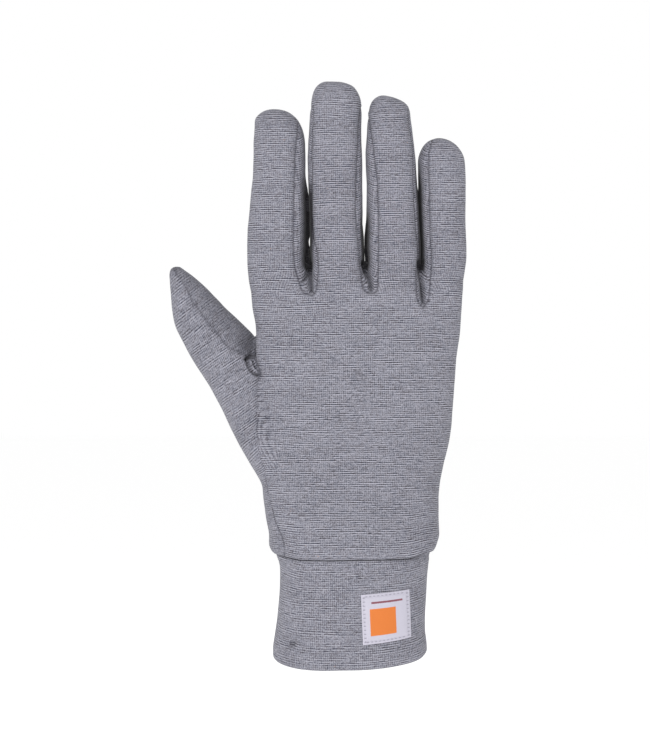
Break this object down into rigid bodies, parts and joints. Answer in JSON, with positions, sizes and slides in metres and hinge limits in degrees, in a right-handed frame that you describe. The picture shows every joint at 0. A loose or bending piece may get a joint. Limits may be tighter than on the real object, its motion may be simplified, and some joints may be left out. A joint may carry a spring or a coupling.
{
  "type": "glove liner",
  "caption": "Right-hand knit glove liner filled out as when worn, with set-in thumb, fourchettes between the fingers, folded wrist cuff and small woven label.",
  "frame": {"origin": "middle of the open wrist, at the height of the hem's mean line", "axes": "+Z from the wrist to the fingertips, +X towards the little finger, -Y out of the back of the hand"},
  "size_m": [0.1307, 0.0461, 0.2569],
  "materials": {
    "knit": "brushed fine-striped jersey, blue-grey heather and charcoal",
    "cuff_knit": "the same jersey, folded double",
    "label": "white woven satin with plain woven bands"
  },
  "bodies": {
    "root": {"hand_back": "knit", "hand_palm": "knit", "fourchette_index_middle": "knit", "fourchette_middle_ring": "knit", "fourchette_ring_little": "knit", "thumb_outer": "knit", "thumb_inner": "knit", "cuff": "cuff_knit", "cuff_label": "label"}
  },
  "joints": []
}
